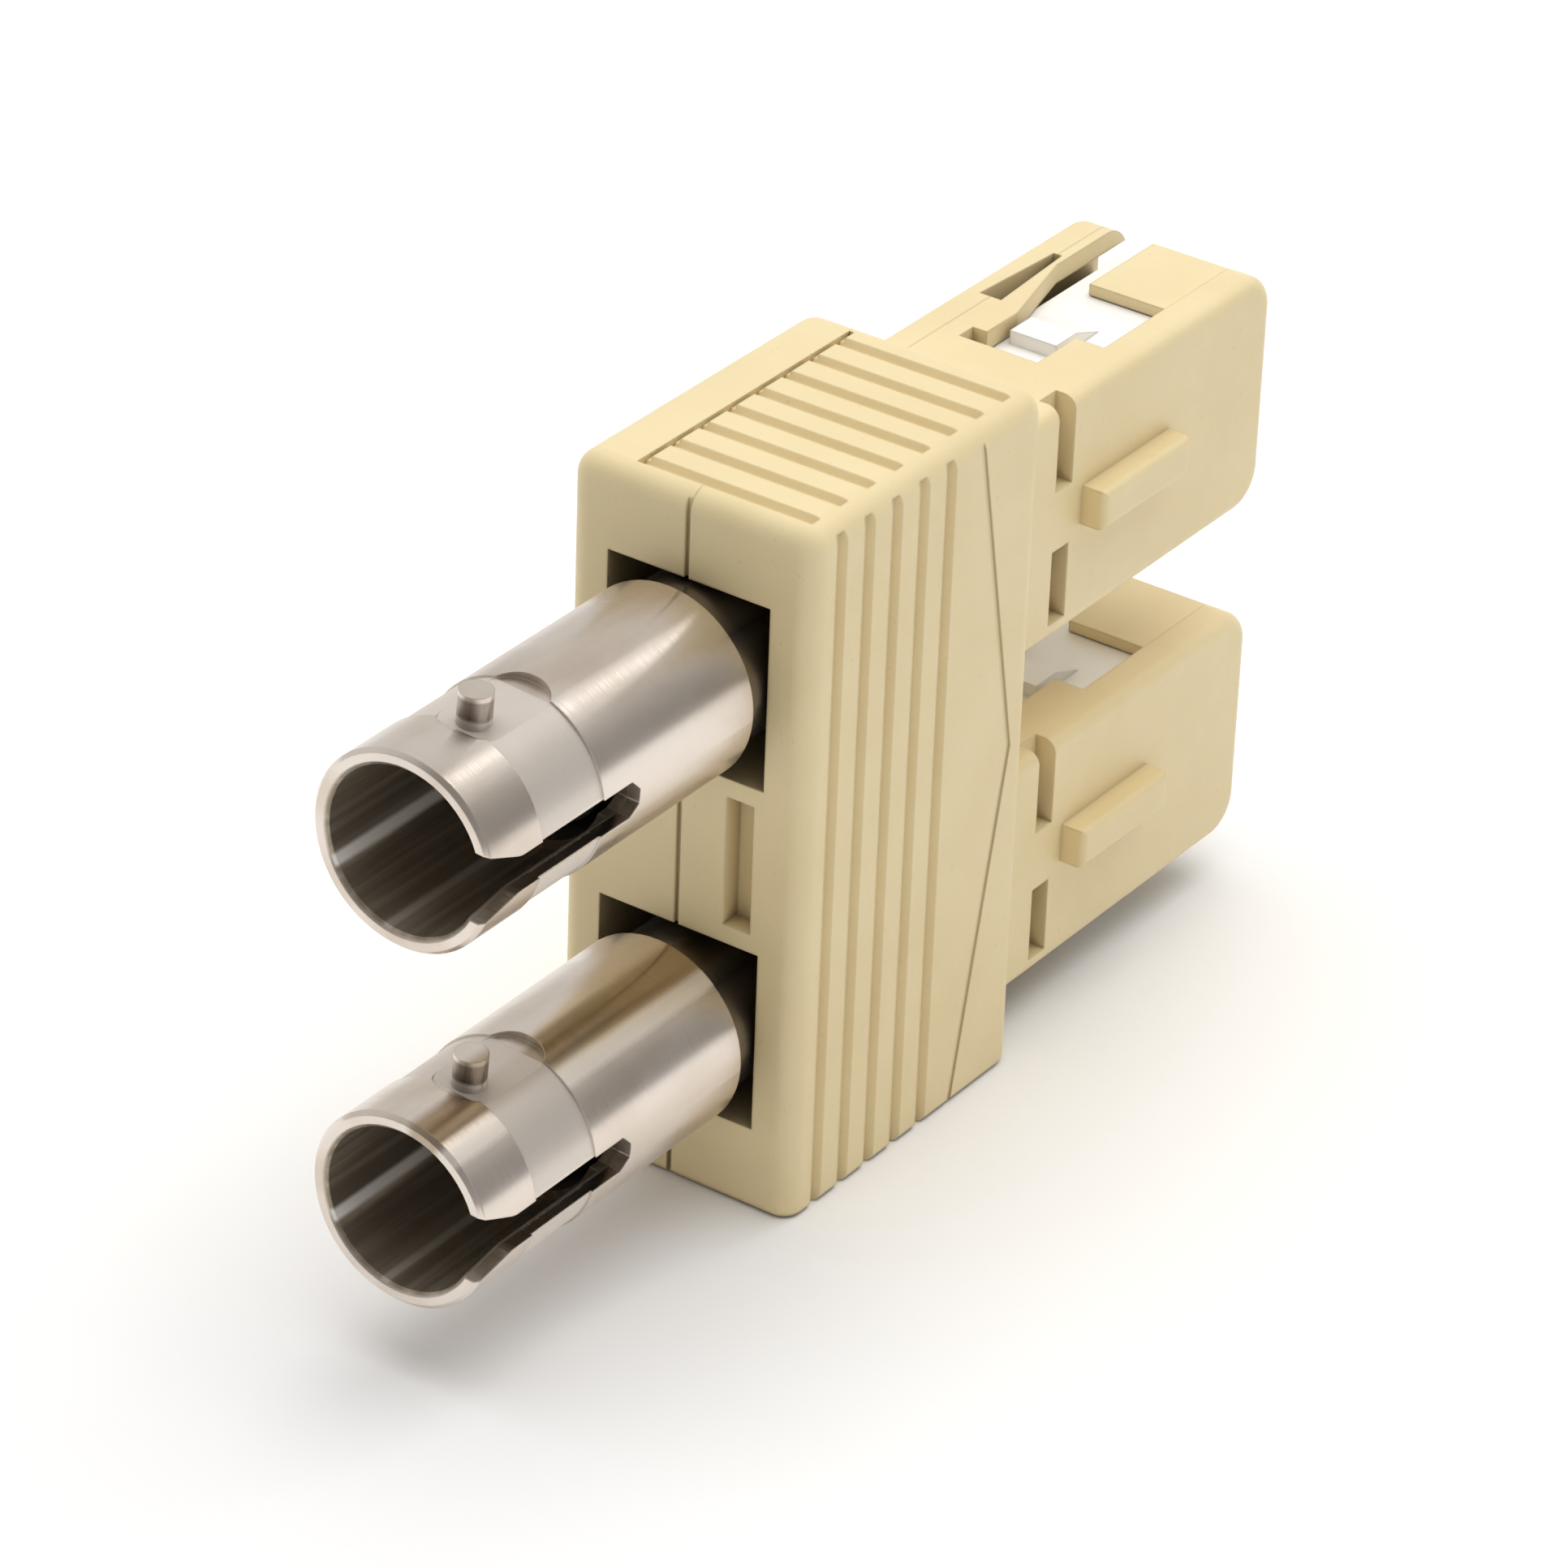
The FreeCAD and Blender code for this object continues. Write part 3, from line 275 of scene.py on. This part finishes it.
def nickel_plate():
    """Turned and plated barrel: fine rings, a matt band round the lugs, a brown bore with painted highlight
    streaks, painted shade in corners and at the neck, and painted dark reflections on the lugs and the lower
    barrel.
    """
    s = Shader("nickel_plate")
    _, y, z = s.axes()
    radius, angle = s.radius(), s.angle()
    bore = s.ramp(radius, 1.0, 0.0, *BORE)
    # Where the barrel runs into its window, for the painted shade at the neck
    neck = s.ramp(y, 0.0, 1.0, *NECK)
    # The lugs stand out of the matt band, and the keyway's walls aren't matt either
    matt = s.minus(s.ramp(radius, 1.0, 0.0, *BAND_HEIGHT), bore)
    matt = s.times(matt, s.minus(1.0, s.within(angle, *KEYWAY)))
    band = s.times(s.within(y, *BAND), matt)
    # Only the lower barrel gets a painted dark reflection along its top, with a painted highlight line
    # beside it
    lower = s.ramp(z, 1.0, 0.0, *LOWER_BARREL)
    dark_reflection = s.times(s.within(angle, *DARK_REFLECTION_ANGLES), lower)
    highlight_line = s.times(s.within(angle, *HIGHLIGHT_LINE_ANGLES), s.times(lower, s.minus(1.0, neck)))

    tarnish = s.ramp(s.noise(scale=0.5, detail=4.0, stretch=(1, 0.35, 1)), 0.0, 1.0, start=0.35, end=0.75)
    plate = s.mix(tarnish, *NICKEL)
    plate = s.tint(plate, dark_reflection, 0.72, NICKEL_DARK_REFLECTION)
    plate = s.tint(plate, highlight_line, 0.7, NICKEL_HIGHLIGHT_LINE)
    plate = s.tint(plate, band, 0.8, NICKEL_MATT)
    # Painted dark reflection on the lugs' sides
    plate = s.tint(plate, s.within(radius, *LUG_SIDE_REFLECTION), 0.65, NICKEL_LUG_REFLECTION)

    drawn = s.ramp(s.noise(scale=1.0, detail=3.0, stretch=(2.2, 0.06, 2.2)), 0.0, 1.0, start=0.42, end=0.72)
    # Painted highlight streaks inside the bore, made less metallic so they stay light
    faint = s.times(s.within(angle, *FAINT_BORE_HIGHLIGHT), FAINT_SHARE)
    bore_highlight = s.times(s.math("MAXIMUM", s.within(angle, *BRIGHT_BORE_HIGHLIGHT), faint), bore)
    inside = s.mix(bore_highlight, s.mix(drawn, *BORE_BROWN), BORE_HIGHLIGHT)

    colour = s.mix(bore, plate, inside)
    # Painted shade in the barrels' corners outside the bore, from how closed in the surface is
    corners = s.hollow(reach=0.9, closed=0.15, clear=0.8)
    colour = s.tint(colour, s.times(corners, s.minus(1.0, bore)), 0.5, NICKEL_CORNER_SHADE)
    # Painted shade on the neck inside the window
    colour = s.tint(colour, neck, 0.65, NICKEL_NECK_SHADE)

    rings = s.mix(bore, s.noise(scale=1.0, detail=3.0, stretch=(0.3, 26.0, 0.3)), NO_RINGS)
    rough = s.math("ADD", s.ramp(rings, 0.2, 0.27, *NOISE_SPAN), s.times(band, 0.2))
    metal = s.minus(s.ramp(bore, 1.0, 0.6), s.times(bore_highlight, 0.5))
    # Less metallic in the matt band and under the painted highlight line
    metal = s.minus(metal, s.times(s.math("MAXIMUM", band, highlight_line), 0.4))
    # The turned finish draws reflections out along the barrel
    tangent = s.node("ShaderNodeTangent", direction_type="RADIAL", axis="Y").outputs["Tangent"]
    s.set(Base_Color=colour, Metallic=metal, Roughness=rough,
          Anisotropic=0.95, Anisotropic_Rotation=0.25, Tangent=tangent)
    blasted = s.times(s.noise(scale=16.0, detail=2.0), band)
    s.bump((rings, 0.0006), (blasted, 0.004), edge=0.06)
    return s.material


def white_plastic():
    """Plug frame: glossy white moulding with faint flow marks and painted shade in its corners."""
    s = Shader("white_plastic")
    flow = s.cloud(scale=0.2, detail=2.0, stretch=(1, 0.4, 1))
    # Painted shade in the corners, from how closed in the surface is
    corners = s.hollow(reach=0.5, closed=0.2, clear=0.8)
    colour = s.tint(s.mix(flow, *WHITE), corners, 0.35, WHITE_CORNER_SHADE)
    s.set(Base_Color=colour, Roughness=s.cloud(scale=1.0, detail=2.0, low=0.3, high=0.38), IOR=1.5)
    waves = s.noise(scale=0.5, detail=2.0)
    grain = s.noise(scale=24.0, detail=2.0)
    s.bump((waves, 0.0015), (grain, 0.0005), edge=0.1)
    return s.material


def dark_plastic():
    """Sleeve holder and spring seat: black satin moulding."""
    s = Shader("dark_plastic")
    colour = s.mix(s.cloud(scale=0.8, detail=3.0), *BLACK)
    s.set(Base_Color=colour, Roughness=s.cloud(scale=3.0, detail=3.0, low=0.4, high=0.55), IOR=1.5)
    s.bump((s.noise(scale=20.0, detail=2.0), 0.002), edge=0.08)
    return s.material


def bronze():
    """Split sleeve: drawn bronze with lengthwise marks."""
    s = Shader("bronze")
    lines = s.noise(scale=1.0, detail=3.0, stretch=(18.0, 0.4, 18.0))
    colour = s.mix(s.cloud(scale=0.9, detail=3.0), *BRONZE)
    s.set(Base_Color=colour, Metallic=1.0, Roughness=s.ramp(lines, 0.2, 0.34, *NOISE_SPAN))
    s.bump((lines, 0.0015), edge=0.04)
    return s.material


def ceramic():
    """Ferrules: polished ceramic with the fibre's dark core at the middle of the end face."""
    s = Shader("ceramic")
    core = s.ramp(s.radius(), 1.0, 0.0, *FIBRE_CORE)
    colour = s.mix(core, s.mix(s.cloud(scale=0.7, detail=3.0), *CERAMIC), FIBRE)
    s.set(Base_Color=colour, Roughness=s.cloud(scale=4.0, detail=2.0, low=0.08, high=0.16), IOR=2.1)
    s.bump((s.noise(scale=1.0, detail=2.0, stretch=(0.5, 14.0, 0.5)), 0.0006), edge=0.04)
    return s.material


def steel():
    """Collars and springs: bright steel with drawn or turned marks."""
    s = Shader("steel")
    marks = s.noise(scale=1.0, detail=3.0, stretch=(0.5, 22.0, 0.5))
    colour = s.mix(s.cloud(scale=1.2, detail=3.0), *STEEL)
    s.set(Base_Color=colour, Metallic=1.0, Roughness=s.ramp(marks, 0.18, 0.32, *NOISE_SPAN))
    s.bump((marks, 0.0012), edge=0.04)
    return s.material


def new_object(name, data):
    thing = bpy.data.objects.new(name, data)
    bpy.context.scene.collection.objects.link(thing)
    return thing


def dress_nodes():
    """Gives every solid of the frame the finish of its slot in the record."""
    finishes = {make.__name__: make() for make in (
        beige_plastic, nickel_plate, white_plastic, dark_plastic, bronze, ceramic, steel)}
    for entry in frame["record"]["subparts"]:
        node = frame["nodes"][entry["node"]]
        node.data.materials.clear()
        node.data.materials.append(finishes[entry["material_slot"]])


def add_springs():
    """Shows each spring by a copy of its own, hung on its plug."""
    for channel in ("upper", "lower"):
        node = frame["nodes"][f"ferrule_spring_{channel}"]
        spring = new_object(f"coil_{channel}", node.data.copy())
        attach(spring, f"plug_{channel}")
        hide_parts(node.name)
        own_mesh(spring)


def add_camera():
    """Looks at the part from the photograph's side."""
    azimuth = math.radians(CAMERA_AZIMUTH)
    elevation = math.radians(CAMERA_ELEVATION)
    back = Vector((math.sin(azimuth) * math.cos(elevation),
                   -math.cos(azimuth) * math.cos(elevation), math.sin(elevation)))
    data = bpy.data.cameras.new("camera")
    data.sensor_width = CAMERA_SENSOR
    data.lens = CAMERA_LENS
    data.clip_start = CAMERA_CLIP
    camera = new_object("camera", data)
    place = Matrix.Translation(Vector(CAMERA_AIM) + back * CAMERA_DISTANCE)
    turn = (-back).to_track_quat("-Z", "Y").to_matrix().to_4x4()
    roll = Matrix.Rotation(math.radians(CAMERA_ROLL), 4, "Z")
    camera.matrix_world = place @ turn @ roll
    bpy.context.scene.camera = camera


def add_floor():
    """Plain pale paper under the part."""
    mesh = bpy.data.meshes.new("floor")
    corners = [(x * FLOOR_REACH, y * FLOOR_REACH, 0) for x, y in ((-1, -1), (1, -1), (1, 1), (-1, 1))]
    mesh.from_pydata(corners, [], [(0, 1, 2, 3)])
    floor = new_object("floor", mesh)
    s = Shader("floor_paper")
    s.set(Base_Color=s.mix(s.noise(scale=0.02, detail=2.0), *PAPER), Roughness=0.9)
    floor.data.materials.append(s.material)


def add_room():
    """A soft surround whose brightness rises along its axis."""
    world = bpy.data.worlds.new("studio")
    world.use_nodes = True
    nodes, links = world.node_tree.nodes, world.node_tree.links
    along = nodes.new("ShaderNodeVectorMath")
    along.operation = "DOT_PRODUCT"
    links.new(nodes.new("ShaderNodeTexCoord").outputs["Generated"], along.inputs[0])
    along.inputs[1].default_value = SKY_AXIS
    rise = nodes.new("ShaderNodeMapRange")
    rise.interpolation_type = "SMOOTHSTEP"
    links.new(along.outputs["Value"], rise.inputs["Value"])
    for name, value in SKY_RISE.items():
        rise.inputs[name].default_value = value
    background = nodes["Background"]
    background.inputs["Color"].default_value = SKY_COLOUR
    links.new(rise.outputs["Result"], background.inputs["Strength"])
    bpy.context.scene.world = world
    bpy.context.scene.view_settings.view_transform = "Standard"


def add_lights():
    """A wide soft light overhead, a weak one from the key side and a narrow strip at the back."""
    for name, place, size, power, mirrored in LIGHTS:
        data = bpy.data.lights.new(name, "AREA")
        data.shape = "RECTANGLE"
        data.size, data.size_y = size
        data.energy = power
        light = new_object(name, data)
        light.location = place
        light.rotation_mode = "QUATERNION"
        light.rotation_quaternion = (Vector(LIGHT_AIM) - Vector(place)).to_track_quat("-Z", "Y")
        light.visible_glossy = mirrored


dress_nodes()
add_springs()
add_camera()
add_floor()
add_room()
add_lights()
